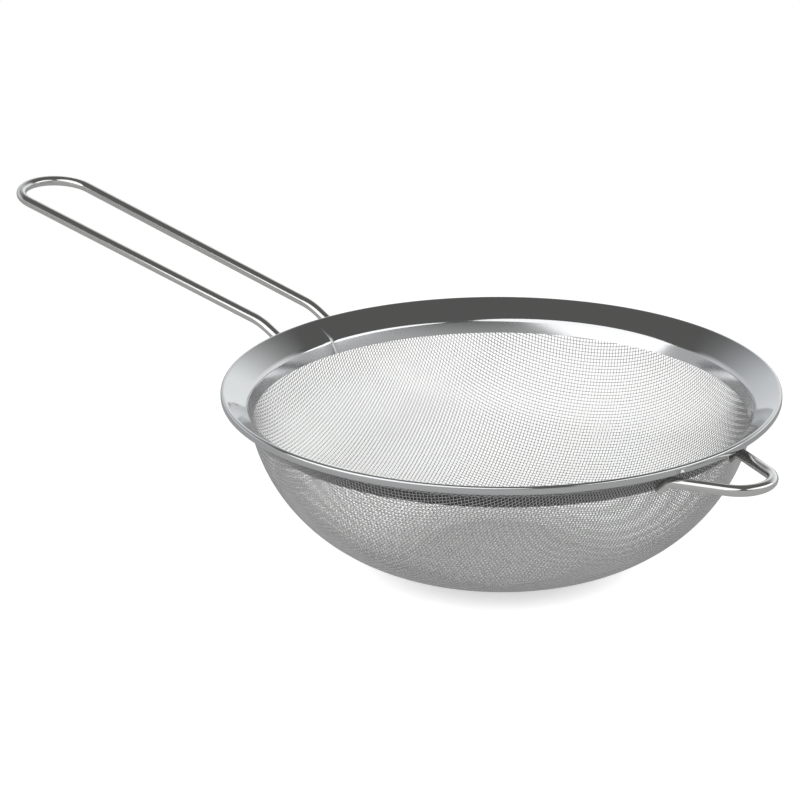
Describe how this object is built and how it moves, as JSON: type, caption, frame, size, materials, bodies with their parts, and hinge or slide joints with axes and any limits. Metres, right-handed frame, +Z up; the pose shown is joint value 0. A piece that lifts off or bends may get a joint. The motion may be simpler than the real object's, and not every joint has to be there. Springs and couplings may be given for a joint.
{
  "type": "kitchen sieve",
  "caption": "Round-bottomed woven wire sieve in a flanged steel rim, with a long bent-wire handle and a wire rest loop opposite, for straining and sifting food.",
  "frame": {"origin": "middle of the flat that the bowl stands on, on the bowl's axis", "axes": "+Z up along the bowl's axis, the handle along -X, the rest loop along +X"},
  "size_m": [0.3881, 0.2, 0.0905],
  "materials": {
    "sheet_steel": "polished stainless sheet",
    "cloth_steel": "bright drawn stainless wire cloth",
    "wire_steel": "polished stainless wire"
  },
  "bodies": {
    "root": {"rim_hoop": "sheet_steel", "mesh_bowl": "cloth_steel", "handle": "wire_steel", "rest_loop": "wire_steel"}
  },
  "joints": []
}
